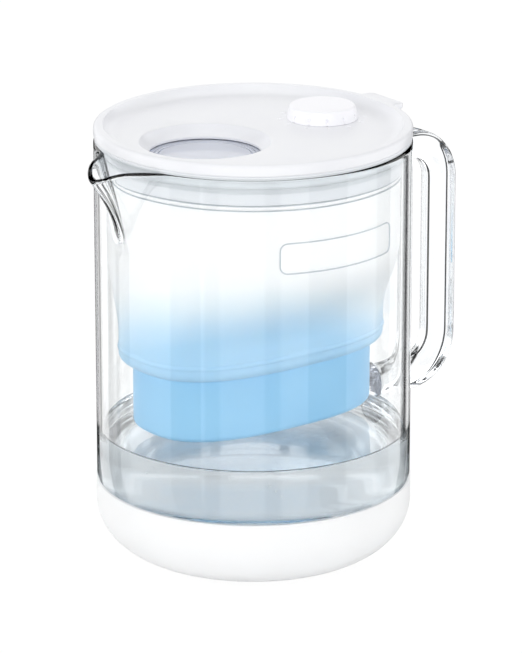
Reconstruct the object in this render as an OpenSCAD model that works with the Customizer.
// Water filter pitcher: a straight glass jug in a soft boot, a drop-in funnel that
// carries an oblong cartridge, and a dished lid with a sprung fill flap and a month dial.
// Millimetres. Origin at the centre of the boot's underside, +Z up,
// +X towards the handle, -X towards the pouring lip.

/* [Glass jug] */
// Outer radius of the glass wall
glass_r = 75; // [72:1:78]
// Thickness of the glass wall
glass_wall = 3; // [2.6:0.1:3.4]
// Thickness of the glass floor
glass_floor = 5; // [4:0.5:7]
// Height of the glass rim above the table
rim_z = 203; // [198:1:210]
// Gap between the glass and a soft piece stretched over it
stretch_gap = 0.15; // [0.1:0.05:0.25]

/* [Pouring lip] */
// How far the lip's tip stands out from the wall
lip_reach = 17; // [14:0.5:20]
// How far the lip's tip lies below the rim
lip_drop = 4.6; // [2:0.2:6]
// Height of the groove that feeds the lip
lip_height = 46; // [40:1:56]
// Half the angle that the lip takes at the rim
lip_half_angle = 27; // [22:1:32]
// Half the angle that the groove takes at its foot
groove_half_angle = 11; // [8:1:14]
// Exponent of the lip's outline seen from above, larger for a narrower tip
lip_peak = 2; // [1:0.1:3]
// Exponent of the rim's dip, larger where only the tip dips
lip_dip = 4.5; // [2:0.5:6]
// Exponent of the groove's slope, where 1 is a straight wedge
lip_slope = 1.6; // [1.3:0.1:2]

/* [Handle] */
// How far the grip's outer face stands out from the glass
handle_reach = 44.3; // [40:0.5:50]
// Thickness of the glass bar, from palm to fingers
bar_depth = 13.5; // [12:0.5:15]
// Width of the glass bar across the hand
bar_width = 15; // [13:0.5:17]
// Radius of the bar's long edges
bar_edge_r = 4; // [3:0.5:5]
// Depth of the upper arm's top below the rim
handle_drop = 11.5; // [9:0.5:16]
// Height of the lower arm's underside above the table
handle_foot_z = 61; // [54:1:70]
// Outer radius of the handle's two bends
bend_r = 26; // [22:1:30]
// How far each weld spreads past the bar
weld_spread = 3; // [2:0.5:4]
// Length of each weld's flare along the arm
weld_length = 7; // [5:1:9]

/* [Base boot] */
// Height of the boot
boot_h = 37; // [33:1:42]
// Wall of the boot
boot_wall = 2.2; // [1.8:0.1:2.6]
// Floor of the boot
boot_floor = 3; // [2.5:0.1:4]
// How far the boot stands proud of the glass
boot_proud = 0.4; // [0.2:0.1:0.6]
// Width of the rounding at the boot's foot
boot_round_r = 30; // [26:1:34]
// Height of the rounding at the boot's foot
boot_round_h = 26; // [22:1:30]
// Distance from the foot's rounding in to the grip groove in the boot's underside
boot_groove_inset = 7.4; // [5:0.2:12]
// Width of the grip groove
boot_groove_w = 3; // [2:0.5:4]
// Depth of the grip groove
boot_groove_d = 0.8; // [0.5:0.1:1.2]

/* [Rim gasket] */
// Thickness of the gasket where the funnel rests on the rim
gasket_t = 0.9; // [0.7:0.1:1.2]
// Height of the gasket's skirt below the rim
skirt_h = 7; // [6:0.5:9]
// Wall of the gasket's skirt
skirt_wall = 0.8; // [0.6:0.1:0.9]
// Gap left at a soft sealing lip
lip_gap = 0.25; // [0.2:0.05:0.35]

/* [Funnel] */
// Gap between the funnel's collar and the glass
collar_gap = 1.8; // [1.7:0.1:2.2]
// Wall of the collar
collar_wall = 2.8; // [2.6:0.1:3]
// Height of the collar from the rim down to its step
collar_h = 12.65; // [11:0.5:14]
// Height of the band below the step
band_h = 2.45; // [2:0.1:3]
// Depth of each of the two steps below the collar
step_d = 0.5; // [0.4:0.05:0.6]
// Thickness of the flange that hangs on the rim
flange_t = 1; // [0.8:0.1:1.4]
// How far the flange stays back from the glass's outer face
flange_inset = 0.4; // [0.3:0.1:0.8]
// Wall of the funnel below the collar
funnel_wall = 1.6; // [1.4:0.1:1.7]
// Depth of the funnel's underside below the rim
funnel_depth = 103; // [98:1:108]
// Thickness of the funnel's floor
funnel_floor = 2.2; // [1.8:0.1:2.6]
// Depth below the rim where the round funnel starts to turn oblong
morph_top_depth = 45; // [40:1:52]
// Height above the funnel's underside where it has become oblong
morph_foot_h = 14; // [10:1:20]
// Rounding of the funnel's bottom edge
funnel_edge_r = 4.5; // [3.5:0.5:5.5]
// How far each end of the funnel's foot stays inside the round body above it
funnel_taper = 2.2; // [1.8:0.1:4]
// Width from the cartridge's outline to the funnel's outline
funnel_margin = 6; // [5.5:0.1:6.5]

/* [Cartridge] */
// Width of the cartridge as a share of its length
cart_ratio = 0.577; // [0.54:0.001:0.6]
// Squareness of the cartridge's outline, where 2 is an ellipse
cart_n = 2.66; // [2.2:0.02:3.2]
// How far the cartridge hangs out below the funnel
cart_drop = 31.3; // [26:0.5:34]
// How far the cartridge stands up inside the funnel
cart_rise = 16; // [13:0.5:18]
// Wall of the cartridge's cup
cart_wall = 1.6; // [1.4:0.1:2]
// Floor of the cartridge's cup
cart_floor = 2; // [1.6:0.1:2.4]
// Rounding of the cup's bottom edge
cart_edge_r = 3; // [2:0.5:4]
// Width of the flange that the cartridge hangs by
cart_flange_w = 3.4; // [3:0.1:3.8]
// Thickness of that flange
cart_flange_t = 1.8; // [1.5:0.1:2.2]
// Thickness of the seal under the flange
cart_seal_t = 1.5; // [1.2:0.1:1.8]
// Gap between the cartridge and the funnel's opening
cart_gap = 0.4; // [0.3:0.05:0.6]
// Thickness of each felt pad
felt_t = 2; // [1.5:0.1:2.5]
// Depth of the resin bed
resin_h = 15; // [12:0.5:17]
// Thickness of the inlet mesh
mesh_t = 1; // [0.8:0.1:1.2]
// Depth of the cap's plug inside the cup
cap_plug_h = 2; // [1.6:0.1:2.4]
// Thickness of the cap's cover plate
cap_plate_t = 2; // [1.6:0.1:2.4]
// How far the cover plate overhangs the cup
cap_overhang = 0.8; // [0.6:0.1:1.2]
// Height of the pinch grip on the cap
grip_h = 6; // [5:0.5:8]
// Length of the pinch grip
grip_l = 34; // [28:1:40]
// Width of the pinch grip
grip_w = 6; // [5:0.5:8]
// Width of a water slot
slot_w = 2; // [1.6:0.1:2.4]
// Length of a water slot
slot_l = 7; // [5:0.5:8]
// Distance from one slot to the next along the cartridge
slot_pitch_x = 11; // [10:0.5:12]
// Distance from one row of slots to the next
slot_pitch_y = 6; // [5:0.5:8]

/* [Lid] */
// Height of the lid's brim
brim_h = 5.3; // [4.8:0.1:6]
// Width of the brim's flat top
brim_top_w = 2.4; // [2:0.1:3]
// Rounding of the brim's outer edge
brim_edge_r = 2; // [1.5:0.1:2.2]
// Width of the hollow slope from the brim down to the dished floor
brim_slope_w = 8; // [6:0.2:9]
// Exponent of that slope, larger for a steeper start at the brim
brim_slope_n = 2.8; // [2:0.1:3.4]
// Wall of the hollow brim
brim_wall = 1.9; // [1.6:0.1:2]
// Height of the dished floor above the brim's lower edge
dish_h = 1; // [0.8:0.1:1.4]
// Thickness of the dished floor
lid_floor = 2; // [1.8:0.1:2.4]
// Gap between the lid's plug and the collar
plug_gap = 0.9; // [0.8:0.05:1]
// Wall of the lid's plug
plug_wall = 1.9; // [1.8:0.1:2.4]
// Depth of the plug below the brim
plug_h = 10; // [9:0.5:12]
// Height of the seal in the plug's groove
seal_h = 3; // [2.5:0.1:3.5]
// Depth of the seal's groove
seal_groove_d = 0.8; // [0.6:0.1:1]
// How far the thumb tab reaches past the brim
tab_reach = 6; // [5:0.5:8]
// Width of the thumb tab
tab_w = 26; // [22:1:30]
// Thickness of the thumb tab
tab_t = 3; // [2.5:0.1:3.2]
// Rounding of the thumb tab's corners
tab_corner_r = 3; // [2:0.5:4]

/* [Fill flap] */
// Distance of the filling hole's centre from the glass's outer face
fill_inset = 47; // [45:0.5:49]
// Radius of the filling hole
fill_r = 26.3; // [24:0.2:27]
// Radius of the bowl round the hole, at the dished floor
bowl_r = 30.8; // [29:0.2:32]
// Depth of the bowl
bowl_d = 4.9; // [4:0.1:5.5]
// Thickness of the seat round the hole
seat_t = 1.5; // [1.2:0.1:1.8]
// Width of the seat round the hole
seat_w = 3.3; // [3:0.1:3.6]
// How far the flap overlaps its seat
flap_overlap = 1.6; // [1.3:0.1:2]
// Thickness of the flap
flap_t = 1.5; // [1.2:0.1:2]
// Gap between the closed flap and its seat
flap_gap = 0.3; // [0.2:0.05:0.4]
// Height of the stiffening rib under the flap's edge
flap_rib_h = 1; // [0.8:0.1:1.4]
// Radius of the hinge pin
pin_r = 1; // [0.9:0.1:1.2]
// Running gap round the hinge pin
pin_gap = 0.05; // [0.03:0.01:0.08]
// Radius of the hinge barrels
barrel_r = 2.4; // [2.2:0.1:2.6]
// Distance of the pin behind the flap's edge
hinge_setback = 4.7; // [4.4:0.1:5.2]
// Depth of the pin below the seat
hinge_drop = 2.5; // [2.3:0.1:3]
// Length of one hinge barrel
barrel_l = 5.8; // [5:0.2:7]
// Length of the space for the spring between the barrels
spring_bay = 5.2; // [4.8:0.2:6]
// Gap between a barrel and its lug
lug_gap = 0.4; // [0.3:0.05:0.5]
// Thickness of a hinge lug
lug_t = 2.5; // [2:0.1:3]
// Radius of the spring's wire
spring_wire_r = 0.3; // [0.25:0.05:0.35]
// Gap between the spring's coils and the pin
spring_gap = 0.6; // [0.4:0.1:0.7]
// Turns of the spring
spring_turns = 4; // [3:1:5]

/* [Month dial] */
// Distance of the dial's centre from the glass's outer face
dial_inset = 34; // [32:0.5:36]
// Radius of the dial at its foot
dial_r = 17.1; // [16:0.1:18]
// Radius of the dial at its top
dial_top_r = 15.8; // [15:0.1:16]
// Height of the dial
dial_h = 6.4; // [5.5:0.1:7.5]
// Wall of the dial
dial_wall = 1.8; // [1.5:0.1:2]
// Number of months, one notch each
dial_notches = 12; // [6:1:16]
// Radius of a notch's cutter
notch_r = 1.6; // [1.2:0.1:2]
// Depth of a notch at the dial's foot
notch_d = 0.6; // [0.4:0.1:0.8]
// Radius of the pit at the foot of each notch
pit_r = 0.8; // [0.6:0.1:1]
// Radius of the dial's spindle
spindle_r = 3; // [2.6:0.1:3.4]
// Wall of the boss that the spindle turns in
boss_wall = 2.4; // [2:0.1:3]
// Height of that boss below the lid's floor
boss_h = 2.6; // [2:0.1:3.2]
// Thickness of the friction washer
washer_t = 0.5; // [0.4:0.05:0.6]
// Thickness of the retaining clip
clip_t = 0.6; // [0.5:0.05:0.8]
// Depth of the clip's groove in the spindle
clip_groove_d = 0.8; // [0.6:0.1:1]

/* [Fits] */
// Gap between pieces that rest on each other and lift apart
seat_gap = 0.1; // [0.08:0.01:0.15]
// Gap round a piece that turns or slides in another
slide_gap = 0.2; // [0.15:0.05:0.3]
// Gap between pieces that are fixed together
fixed_gap = 0.05; // [0.03:0.01:0.08]

/* [Hidden] */
$fn = 96;
eps = 0.01;
arc_steps = 14;
edge_steps = 6;

// Jug and boot
glass_in_r = glass_r - glass_wall;
boot_r = glass_r + boot_proud;
foot_r = boot_r - boot_wall - stretch_gap;
round_x = boot_r - boot_round_r;
boot_groove_r = round_x - boot_groove_inset;
shoulder_z = boot_h + stretch_gap;
shoulder_bevel = 0.5;
floor_z = boot_floor + glass_floor;
lip_z = rim_z - lip_height;
lip_sections = 30;
lip_rows = 10;
lip_seam = 0.06;
lip_seam_angle = 0.4;

// Funnel
collar_r = glass_in_r - collar_gap;
collar_in_r = collar_r - collar_wall;
collar_foot_z = rim_z - collar_h;
band_foot_z = collar_foot_z - band_h;
band_r = collar_r - step_d;
body_r = band_r - step_d;
gasket_z = rim_z + seat_gap;
flange_z = gasket_z + gasket_t;
flange_top_z = flange_z + flange_t;
flange_r = glass_r - flange_inset;
funnel_z = rim_z - funnel_depth;
funnel_a = body_r - funnel_taper;
cart_a = funnel_a - funnel_margin;
cart_b = cart_a * cart_ratio;
funnel_b = cart_b + funnel_margin;
funnel_bed_z = funnel_z + funnel_floor;
morph_top_z = rim_z - morph_top_depth;
morph_foot_z = funnel_z + morph_foot_h;
morph_rows = 8;
outline_points = 72;

// Cartridge
cart_z = funnel_z - cart_drop;
cart_top_z = funnel_z + cart_rise;
cart_seal_z = funnel_bed_z + seat_gap;
cart_flange_z = cart_seal_z + cart_seal_t;
cart_bed_inset = cart_wall + fixed_gap;
outlet_z = cart_z + cart_floor;
resin_z = outlet_z + felt_t;
divider_z = resin_z + resin_h;
carbon_z = divider_z + felt_t;
mesh_z = cart_top_z - cap_plug_h - mesh_t;
slot_reach = 0.62;

// Lid
lid_z = flange_top_z + seat_gap;
lid_top_z = lid_z + brim_h;
dish_z = lid_z + dish_h;
lid_under_z = dish_z - lid_floor;
plug_r = collar_in_r - plug_gap;
plug_in_r = plug_r - plug_wall;
plug_z = lid_z - plug_h;
brim_in_r = glass_r - brim_edge_r - brim_top_w;
dish_r = brim_in_r - brim_slope_w;
brim_core_in_r = brim_in_r - 0.7;
brim_core_r = glass_r - brim_wall;
brim_core_z = lid_top_z - brim_wall;
seal_z = plug_z + 3;
seal_groove_r = plug_r - seal_groove_d;
tab_z = lid_top_z - 0.7 - tab_t;

// Fill flap and its hinge
fill_x = glass_r - fill_inset;
bowl_foot_z = dish_z - bowl_d;
seat_z = bowl_foot_z - seat_t;
seat_r = fill_r + seat_w;
cup_r = bowl_r + lid_floor;
flap_z = seat_z - flap_gap - flap_t;
flap_r = fill_r + flap_overlap;
hinge_x = -fill_x + flap_r + hinge_setback;
hinge_z = seat_z - hinge_drop;
lug_r = barrel_r + 0.2;
lug_y = spring_bay / 2 + barrel_l + lug_gap;
pin_l = 2 * (lug_y + lug_t);
spring_r = pin_r + spring_gap + spring_wire_r;
spring_leg_x = 9;

// Dial
dial_x = glass_r - dial_inset;
dial_z = dish_z + seat_gap;
dial_top_z = dial_z + dial_h;
boss_z = lid_under_z - boss_h;
boss_r = spindle_r + slide_gap + boss_wall;
washer_z = boss_z - fixed_gap - washer_t;
clip_z = washer_z - seat_gap - clip_t;
spindle_foot_z = clip_z - 1;
clip_in_r = spindle_r - clip_groove_d + fixed_gap;

// Points of an elliptic arc, centre (x, z), from angle t0 to t1
function arc(x, z, a, b, t0, t1, steps) =
    [for (i = [0 : steps]) let (t = t0 + (t1 - t0) * i / steps) [x + a * cos(t), z + b * sin(t)]];

// Smooth step from 0 to 1
function ease(u) = u <= 0 ? 0 : u >= 1 ? 1 : u * u * (3 - 2 * u);

function mix(a, b, s) = a + (b - a) * s;

// Superellipse with half axes a and b, squareness n, at height z
function outline(a, b, n, z) =
    [for (i = [0 : outline_points - 1])
        let (t = 360 * i / outline_points, c = cos(t), s = sin(t))
        [a * sign(c) * pow(abs(c), 2 / n), b * sign(s) * pow(abs(s), 2 / n), z]];

function flat(points) = [for (p = points) [p[0], p[1]]];

// Strip of triangles that closes a ring of n points, numbered from first
function end_cap(n, first, flip) =
    [for (j = [0 : ceil(n / 2) - 2], half = [0, 1])
        let (a = first + j, b = first + j + 1, c = first + n - 2 - j, d = first + n - 1 - j,
             tri = half == 0 ? [a, b, d] : [b, c, d])
        if (b != c || half == 0) flip ? [tri[2], tri[1], tri[0]] : tri];

// Skin over rings of equal length; loop joins the last ring to the first
module skin(rings, loop = false) {
    n = len(rings[0]);
    m = len(rings);
    sides = [for (i = [0 : loop ? m - 1 : m - 2], j = [0 : n - 1], half = [0, 1])
        let (a = i * n + j, b = i * n + (j + 1) % n,
             c = ((i + 1) % m) * n + (j + 1) % n, d = ((i + 1) % m) * n + j)
        half == 0 ? [a, b, c] : [a, c, d]];
    caps = loop ? [] : concat(end_cap(n, 0, true), end_cap(n, (m - 1) * n, false));
    polyhedron(points = [for (r = rings) each r], faces = concat(sides, caps), convexity = 8);
}

// Upright prism with the cartridge's outline grown by d
module oblong(d, z0, z1) {
    translate([0, 0, z0])
        linear_extrude(z1 - z0)
            polygon(flat(outline(cart_a + d, cart_b + d, cart_n, 0)));
}

// ---- Jug ----

// Share of the lip's reach at angle a from its centre and height share u
function lip_window(a, u) =
    let (half = mix(groove_half_angle, lip_half_angle, pow(u, 3)))
    abs(a) >= half ? 0 : pow((1 + cos(180 * a / half)) / 2, lip_peak);
function lip_bulge(a, u) = u <= 0 ? 0 : lip_reach * lip_window(a, u) * pow(u, lip_slope);

// Point on the middle of the glass wall, as [radius, height]
function lip_mid(a, u) =
    [glass_r - glass_wall / 2 + lip_bulge(a, u),
     mix(lip_z, rim_z - glass_wall / 2 - lip_drop * pow(lip_window(a, 1), lip_dip) * u, u)];

// Wall section at angle a, as [radius, height] points up the outside and down the inside
function lip_section(a) =
    let (rows = [for (i = [0 : lip_rows]) i / lip_rows],
         mids = [for (u = rows) lip_mid(a, u)],
         dirs = [for (u = rows) let (d = lip_mid(a, min(u + eps, 1)) - lip_mid(a, max(u - eps, 0)))
                 u == 0 ? [0, 1] : d / norm(d)],
         h = glass_wall / 2 + lip_seam,
         top = lip_rows)
    concat(
        [for (i = [0 : top]) mids[i] + h * [dirs[i][1], -dirs[i][0]]],
        [for (k = [1 : edge_steps - 1]) let (t = 180 * k / edge_steps)
            mids[top] + h * (cos(t) * [dirs[top][1], -dirs[top][0]] + sin(t) * dirs[top])],
        [for (i = [top : -1 : 0]) mids[i] - h * [dirs[i][1], -dirs[i][0]]]);

function turn(p, a) = [-p[0] * cos(a), p[0] * sin(a), p[1]];

module lip() {
    skin([for (k = [0 : lip_sections])
        let (a = lip_half_angle * (1 - 2 * k / lip_sections))
        [for (p = lip_section(a)) turn(p, a)]]);
}

// Sector of the wall that the lip takes the place of
module lip_notch() {
    far = 2 * glass_r;
    side = far * tan(lip_half_angle - lip_seam_angle);
    translate([0, 0, lip_z + 5 * lip_seam])
        linear_extrude(rim_z)
            polygon([[0, 0], [-far, side], [-far, -side]]);
}

module glass_carafe() {
    profile = concat(
        [[0, boot_floor]],
        arc(round_x, boot_round_h, foot_r - round_x, boot_round_h - boot_floor, -90, 0, arc_steps),
        [[foot_r, shoulder_z], [glass_r - shoulder_bevel, shoulder_z],
         [glass_r, shoulder_z + shoulder_bevel]],
        arc(glass_r - glass_wall / 2, rim_z - glass_wall / 2, glass_wall / 2, glass_wall / 2,
            0, 180, edge_steps),
        [[glass_in_r, shoulder_z + glass_wall], [foot_r - glass_wall, shoulder_z - glass_wall]],
        arc(round_x, boot_round_h, foot_r - glass_wall - round_x, boot_round_h - floor_z,
            0, -90, arc_steps),
        [[0, floor_z]]);
    color([0.85, 0.92, 0.95, 0.35])
        union() {
            difference() {
                rotate_extrude() polygon(profile);
                lip_notch();
            }
            lip();
        }
}

// ---- Handle ----

// Rounded section of the glass bar, depth along x and width along y
module bar_section() {
    x = bar_depth / 2 - bar_edge_r;
    y = bar_width / 2 - bar_edge_r;
    square([2 * x, bar_width], center = true);
    square([bar_depth, 2 * y], center = true);
    for (sx = [-1, 1], sy = [-1, 1])
        translate([sx * x, sy * y]) circle(r = bar_edge_r);
}

// One arm with its weld flare and its bend; the arm's outer face is at z = 0 and it hangs below
module handle_half(bend_x) {
    flare_r = bar_depth / 2 + weld_spread;
    rotate([0, 90, 0])
        translate([bar_depth / 2, 0, 0])
            union() {
                linear_extrude(bend_x) bar_section();
                rotate_extrude()
                    polygon(concat(
                        [[0, 0], [flare_r, 0]],
                        [for (i = [0 : edge_steps]) let (u = i / edge_steps)
                            [flare_r - 1.3 * weld_spread * (1 - pow(1 - u, 2)),
                             glass_r + weld_length * u]],
                        [[0, glass_r + weld_length]]));
            }
    translate([bend_x, 0, -bend_r])
        rotate([90, 0, 0])
            rotate_extrude(angle = 90)
                translate([bend_r - bar_depth / 2, 0]) bar_section();
}

module glass_handle() {
    top_z = rim_z - handle_drop;
    grip_x = glass_r + handle_reach;
    bend_x = grip_x - bend_r;
    color([0.85, 0.92, 0.95, 0.35])
        difference() {
            union() {
                translate([0, 0, top_z]) handle_half(bend_x);
                translate([0, 0, handle_foot_z]) mirror([0, 0, 1]) handle_half(bend_x);
                translate([grip_x - bar_depth / 2, 0, handle_foot_z + bend_r])
                    linear_extrude(top_z - handle_foot_z - 2 * bend_r) bar_section();
            }
            cylinder(r = glass_r, h = rim_z);
        }
}

// ---- Boot ----

module base_boot() {
    in_r = boot_r - boot_wall;
    lip_bevel = 0.5;
    profile = concat(
        [[0, 0], [boot_groove_r - boot_groove_w / 2, 0],
         [boot_groove_r - boot_groove_w / 4, boot_groove_d],
         [boot_groove_r + boot_groove_w / 4, boot_groove_d],
         [boot_groove_r + boot_groove_w / 2, 0]],
        arc(round_x, boot_round_h, boot_round_r, boot_round_h, -90, 0, arc_steps),
        [[boot_r, boot_h - lip_bevel], [boot_r - lip_bevel, boot_h], [in_r, boot_h]],
        arc(round_x, boot_round_h, in_r - round_x, boot_round_h - boot_floor, 0, -90, arc_steps),
        [[0, boot_floor]]);
    color([0.97, 0.97, 0.97])
        rotate_extrude() polygon(profile);
}

// ---- Gasket and funnel ----

module rim_gasket() {
    in_r = collar_r + fixed_gap;
    skirt_r = in_r + skirt_wall;
    bead_r = glass_in_r - lip_gap;
    bead_z = rim_z - 0.65 * skirt_h;
    bead_h = 1.2;
    color([0.82, 0.85, 0.86, 0.8])
        rotate_extrude()
            polygon([[in_r, rim_z - skirt_h], [skirt_r, rim_z - skirt_h],
                     [skirt_r, bead_z - bead_h], [bead_r, bead_z], [skirt_r, bead_z + bead_h],
                     [skirt_r, gasket_z], [flange_r - fixed_gap, gasket_z],
                     [flange_r - fixed_gap, flange_z], [in_r, flange_z]]);
}

// Funnel outline at height z, inset by d from the outer face
function funnel_ring(z, d) =
    let (s = ease((morph_top_z - z) / (morph_top_z - morph_foot_z)))
    outline(mix(body_r, funnel_a, s) - d, mix(body_r, funnel_b, s) - d, mix(2, cart_n, s), z);

module funnel() {
    inner_edge = funnel_edge_r / 3;
    levels = [for (i = [0 : morph_rows]) mix(morph_top_z, morph_foot_z, i / morph_rows)];
    root_z = band_foot_z + band_h / 2;
    edge = arc(0, 0, funnel_edge_r, funnel_edge_r, 0, 90, 3);
    outer = concat(
        [funnel_ring(root_z, 0)],
        [for (z = levels) funnel_ring(z, 0)],
        [for (p = edge) outline(funnel_a - funnel_edge_r + p[0], funnel_b - funnel_edge_r + p[0],
                                cart_n, funnel_z + funnel_edge_r - p[1])]);
    inner = concat(
        [outline(cart_a + cart_gap, cart_b + cart_gap, cart_n, funnel_z),
         outline(cart_a + cart_gap, cart_b + cart_gap, cart_n, funnel_bed_z),
         outline(funnel_a - funnel_wall - inner_edge, funnel_b - funnel_wall - inner_edge,
                 cart_n, funnel_bed_z),
         outline(funnel_a - funnel_wall, funnel_b - funnel_wall,
                 cart_n, funnel_bed_z + inner_edge)],
        [for (i = [morph_rows : -1 : 0]) funnel_ring(levels[i], funnel_wall)],
        [funnel_ring(root_z, funnel_wall)]);
    flange_bevel = 0.3;
    color([0.9, 0.94, 0.97, 0.7])
        union() {
            skin(concat(outer, inner), loop = true);
            rotate_extrude()
                polygon([[collar_in_r, band_foot_z], [band_r, band_foot_z],
                         [band_r, collar_foot_z], [collar_r, collar_foot_z],
                         [collar_r, flange_z], [flange_r, flange_z],
                         [flange_r, flange_top_z - flange_bevel],
                         [flange_r - flange_bevel, flange_top_z],
                         [collar_in_r, flange_top_z]]);
        }
}

// ---- Cartridge ----

// Rows of slots, kept where they lie well inside the cartridge's outline
module slots(z0, z1, clear_w = 0) {
    nx = floor(cart_a / slot_pitch_x);
    ny = floor(cart_b / slot_pitch_y);
    for (i = [-nx : nx], j = [-ny : ny]) {
        x = i * slot_pitch_x;
        y = j * slot_pitch_y;
        inside = pow(abs(x) / cart_a, cart_n) + pow(abs(y) / cart_b, cart_n) < slot_reach;
        if (inside && abs(y) >= clear_w)
            translate([x, y, (z0 + z1) / 2])
                cube([slot_l, slot_w, z1 - z0], center = true);
    }
}

module filter_shell() {
    edge = arc(0, 0, cart_edge_r, cart_edge_r, 90, 0, 3);
    rings = concat(
        [for (p = edge) outline(cart_a - cart_edge_r + p[0], cart_b - cart_edge_r + p[0],
                                cart_n, cart_z + cart_edge_r - p[1])],
        [outline(cart_a, cart_b, cart_n, cart_top_z)]);
    color([0.55, 0.78, 0.95])
        difference() {
            union() {
                skin([for (i = [len(rings) - 1 : -1 : 0]) rings[i]]);
                oblong(cart_flange_w, cart_flange_z, cart_flange_z + cart_flange_t);
            }
            oblong(-cart_wall, outlet_z, cart_top_z + 1);
            slots(cart_z - 1, outlet_z + 1);
        }
}

module filter_gasket() {
    color([0.9, 0.92, 0.93])
        difference() {
            oblong(cart_flange_w - 0.8, cart_seal_z, cart_flange_z);
            oblong(fixed_gap, cart_seal_z - 1, cart_flange_z + 1);
        }
}

module filter_cap() {
    grip_z = cart_top_z + cap_plate_t;
    neck = 1;
    color([0.62, 0.82, 0.96])
        union() {
            difference() {
                union() {
                    oblong(-cart_bed_inset, cart_top_z - cap_plug_h, cart_top_z);
                    oblong(cap_overhang, cart_top_z, grip_z);
                }
                slots(cart_top_z - cap_plug_h - 1, grip_z + 1, grip_w / 2 + slot_w);
            }
            translate([0, 0, grip_z + grip_h / 2])
                cube([grip_l, grip_w - 2 * neck, grip_h], center = true);
            translate([0, 0, grip_z + grip_h - neck])
                cube([grip_l, grip_w, 2 * neck], center = true);
        }
}

module outlet_screen() {
    color("white") oblong(-cart_bed_inset, outlet_z, resin_z);
}

module resin_bed() {
    color([0.92, 0.86, 0.66]) oblong(-cart_bed_inset, resin_z, divider_z);
}

module divider_felt() {
    color("white") oblong(-cart_bed_inset, divider_z, carbon_z);
}

module carbon_bed() {
    color([0.16, 0.16, 0.17]) oblong(-cart_bed_inset, carbon_z, mesh_z);
}

module inlet_screen() {
    color([0.8, 0.8, 0.82]) oblong(-cart_bed_inset, mesh_z, mesh_z + mesh_t);
}

// ---- Lid ----

module lid_disc() {
    skim = 0.3;
    steps = 2 * edge_steps;
    slope = [for (i = [0 : steps]) let (u = i / steps)
        [brim_in_r - brim_slope_w * u, mix(dish_z, lid_top_z, pow(1 - u, brim_slope_n))]];
    profile = concat(
        [[0, lid_under_z], [plug_in_r, lid_under_z], [plug_in_r, plug_z],
         [plug_r - skim, plug_z], [plug_r, plug_z + 2 * skim],
         [plug_r, seal_z], [seal_groove_r, seal_z],
         [seal_groove_r, seal_z + seal_h], [plug_r, seal_z + seal_h],
         [plug_r, lid_z], [brim_core_in_r, lid_z],
         [brim_in_r + brim_wall / 2, brim_core_z], [brim_core_r - skim, brim_core_z],
         [brim_core_r, lid_z], [glass_r - skim, lid_z], [glass_r, lid_z + 1]],
        arc(glass_r - brim_edge_r, lid_top_z - brim_edge_r, brim_edge_r, brim_edge_r,
            0, 90, edge_steps),
        slope,
        [[0, dish_z]]);
    rotate_extrude() polygon(profile);
}

module thumb_tab() {
    far = glass_r + tab_reach;
    near = brim_core_r + 0.4;
    y = tab_w / 2 - tab_corner_r;
    translate([0, 0, tab_z])
        linear_extrude(tab_t)
            difference() {
                union() {
                    translate([0, -tab_w / 2]) square([far - tab_corner_r, tab_w]);
                    translate([0, -y]) square([far, 2 * y]);
                    for (s = [-1, 1])
                        translate([far - tab_corner_r, s * y]) circle(r = tab_corner_r);
                }
                circle(r = near);
            }
}

// Solid of the bowl's wall and seat, before the bowl and the hole are cut
module bowl_wall() {
    translate([-fill_x, 0, 0])
        rotate_extrude()
            polygon([[0, seat_z], [seat_r, seat_z], [seat_r, bowl_foot_z],
                     [cup_r, lid_under_z + eps], [0, lid_under_z + eps]]);
}

module bowl_cut() {
    wall = [for (i = [0 : edge_steps]) let (u = i / edge_steps)
        [mix(fill_r, bowl_r, pow(u, 0.7)), mix(bowl_foot_z, dish_z, u)]];
    translate([-fill_x, 0, 0])
        rotate_extrude()
            polygon(concat([[0, seat_z - 1], [fill_r, seat_z - 1]], wall,
                           [[bowl_r, dish_z + 1], [0, dish_z + 1]]));
}

module hinge_lugs() {
    for (s = [-1, 1])
        translate([hinge_x, s * (lug_y + lug_t / 2), hinge_z])
            rotate([90, 0, 0])
                linear_extrude(lug_t, center = true)
                    union() {
                        circle(r = lug_r);
                        translate([-lug_r, 0]) square([2 * lug_r, lid_under_z - hinge_z + eps]);
                    }
}

module lid() {
    color([0.98, 0.98, 0.98])
        difference() {
            union() {
                lid_disc();
                thumb_tab();
                bowl_wall();
                hinge_lugs();
                translate([dial_x, 0, boss_z])
                    cylinder(r = boss_r, h = lid_under_z - boss_z + eps);
            }
            bowl_cut();
            translate([dial_x, 0, boss_z - 1])
                cylinder(r = spindle_r + slide_gap, h = boss_h + lid_floor + 2);
            translate([hinge_x, 0, hinge_z])
                rotate([90, 0, 0])
                    cylinder(r = pin_r + pin_gap / 2, h = pin_l + 2, center = true);
        }
}

module lid_seal() {
    in_r = seal_groove_r + fixed_gap;
    back_r = plug_r - fixed_gap;
    z0 = seal_z + fixed_gap;
    h = seal_h - 2 * fixed_gap;
    color([0.85, 0.87, 0.88])
        rotate_extrude()
            polygon([[in_r, z0], [back_r, z0], [collar_in_r - lip_gap, z0 + 0.35 * h],
                     [collar_in_r - lip_gap, z0 + 0.65 * h], [back_r, z0 + h], [in_r, z0 + h]]);
}

// ---- Fill flap ----

module flap_barrels() {
    for (s = [-1, 1])
        translate([hinge_x, s * (spring_bay + barrel_l) / 2, hinge_z])
            rotate([90, 0, 0])
                cylinder(r = barrel_r, h = barrel_l, center = true);
}

// Arms from the flap's edge to the barrels
module flap_arms() {
    x0 = -fill_x + flap_r - 2;
    for (s = [-1, 1])
        translate([x0, s * (spring_bay + barrel_l) / 2 - barrel_l / 2, flap_z])
            cube([hinge_x - x0, barrel_l, flap_t]);
}

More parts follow.
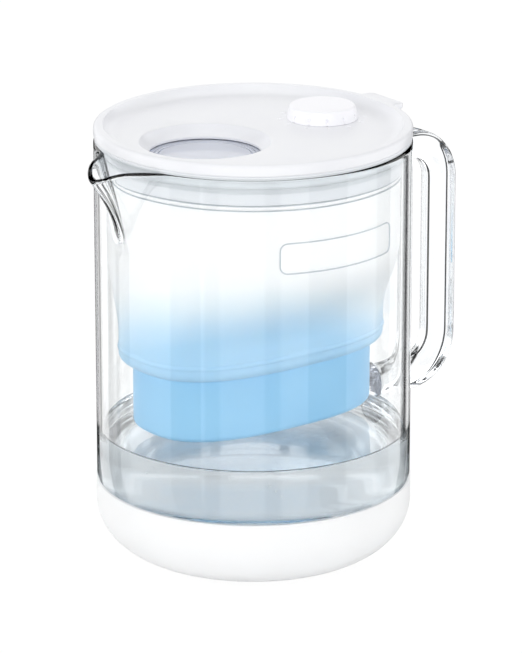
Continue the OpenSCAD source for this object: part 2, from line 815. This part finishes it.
module fill_flap() {
    rib_w = 1;
    color([0.8, 0.87, 0.95, 0.45])
        difference() {
            union() {
                translate([-fill_x, 0, 0])
                    rotate_extrude()
                        polygon([[0, flap_z], [flap_r - rib_w, flap_z],
                                 [flap_r - rib_w, flap_z - flap_rib_h],
                                 [flap_r, flap_z - flap_rib_h],
                                 [flap_r, flap_z + flap_t - 0.3],
                                 [flap_r - 0.3, flap_z + flap_t], [0, flap_z + flap_t]]);
                flap_arms();
                flap_barrels();
            }
            translate([hinge_x, 0, hinge_z])
                rotate([90, 0, 0])
                    cylinder(r = pin_r + pin_gap, h = pin_l, center = true);
        }
}

module flap_pin() {
    color([0.75, 0.76, 0.78])
        translate([hinge_x, 0, hinge_z])
            rotate([90, 0, 0])
                cylinder(r = pin_r, h = pin_l, center = true);
}

// Tube of radius r with six sides along the points of a path
module wire(path, r) {
    last = len(path) - 1;
    skin([for (i = [0 : last])
        let (d = path[min(i + 1, last)] - path[max(i - 1, 0)],
             t = d / norm(d),
             side = cross(t, [0.02, 1, 0.05]),
             u = side / norm(side),
             v = cross(t, u))
        [for (k = [0 : 5]) path[i] + r * (cos(60 * k) * u + sin(60 * k) * v)]]);
}

module flap_spring() {
    coil_l = spring_bay - 4 * spring_wire_r;
    steps = 12 * spring_turns;
    leg_tip_z = lid_under_z - hinge_z - spring_wire_r - seat_gap;
    rise = leg_tip_z + spring_r * sin(45);
    flap_tip_z = flap_z - hinge_z - spring_wire_r - seat_gap;
    start = -45;
    sweep = 360 * spring_turns + 45;
    coil = [for (i = [0 : steps])
        let (t = start - sweep * i / steps)
        [spring_r * cos(t), coil_l * (i / steps - 0.5), spring_r * sin(t)]];
    path = concat(
        [[spring_r * cos(45) + rise, -coil_l / 2, leg_tip_z]],
        coil,
        [[-spring_leg_x + 3, coil_l / 2, -spring_r], [-spring_leg_x, coil_l / 2, flap_tip_z]]);
    color([0.7, 0.71, 0.73])
        translate([hinge_x, 0, hinge_z]) wire(path, spring_wire_r);
}

// ---- Month dial ----

module dial_knob() {
    edge_r = 1.2;
    in_r = dial_top_r - dial_wall;
    roof_z = dial_top_z - dial_wall;
    groove_z = clip_z - fixed_gap;
    groove_r = spindle_r - clip_groove_d;
    tip_r = spindle_r - 0.5;
    profile = concat(
        [[0, spindle_foot_z], [tip_r, spindle_foot_z], [tip_r + 0.5, spindle_foot_z + 0.5],
         [spindle_r, groove_z], [groove_r, groove_z],
         [groove_r, clip_z + clip_t + fixed_gap], [spindle_r, clip_z + clip_t + fixed_gap],
         [spindle_r, roof_z], [in_r, roof_z], [in_r + 0.4, dial_z], [dial_r, dial_z]],
        arc(dial_top_r - edge_r, dial_top_z - edge_r, edge_r, edge_r, 10, 90, 5),
        [[0, dial_top_z]]);
    color([0.98, 0.98, 0.98])
        translate([dial_x, 0, 0])
            difference() {
                rotate_extrude() polygon(profile);
                for (i = [0 : dial_notches - 1])
                    rotate([0, 0, 360 * i / dial_notches]) {
                        translate([dial_r + notch_r - notch_d, 0, dial_z - 1])
                            cylinder(r = notch_r, h = dial_h + 2);
                        translate([dial_r - 2 * notch_d, 0, dial_z + 1.5 * pit_r])
                            rotate([0, 90, 0]) cylinder(r = pit_r, h = 3);
                    }
            }
}

module dial_washer() {
    color([0.72, 0.73, 0.75])
        translate([dial_x, 0, washer_z])
            difference() {
                cylinder(r = boss_r - 0.4, h = washer_t);
                translate([0, 0, -1]) cylinder(r = spindle_r + slide_gap, h = washer_t + 2);
            }
}

module dial_clip() {
    clip_r = spindle_r + 2;
    mouth = 2 * clip_in_r * 0.85;
    color([0.7, 0.71, 0.73])
        translate([dial_x, 0, clip_z])
            difference() {
                cylinder(r = clip_r, h = clip_t);
                translate([0, 0, -1]) cylinder(r = clip_in_r, h = clip_t + 2);
                translate([0, -mouth / 2, -1]) cube([clip_r + 1, mouth, clip_t + 2]);
            }
}

glass_carafe();
glass_handle();
base_boot();
rim_gasket();
funnel();
filter_shell();
filter_cap();
filter_gasket();
inlet_screen();
carbon_bed();
divider_felt();
resin_bed();
outlet_screen();
lid();
lid_seal();
fill_flap();
flap_pin();
flap_spring();
dial_knob();
dial_washer();
dial_clip();
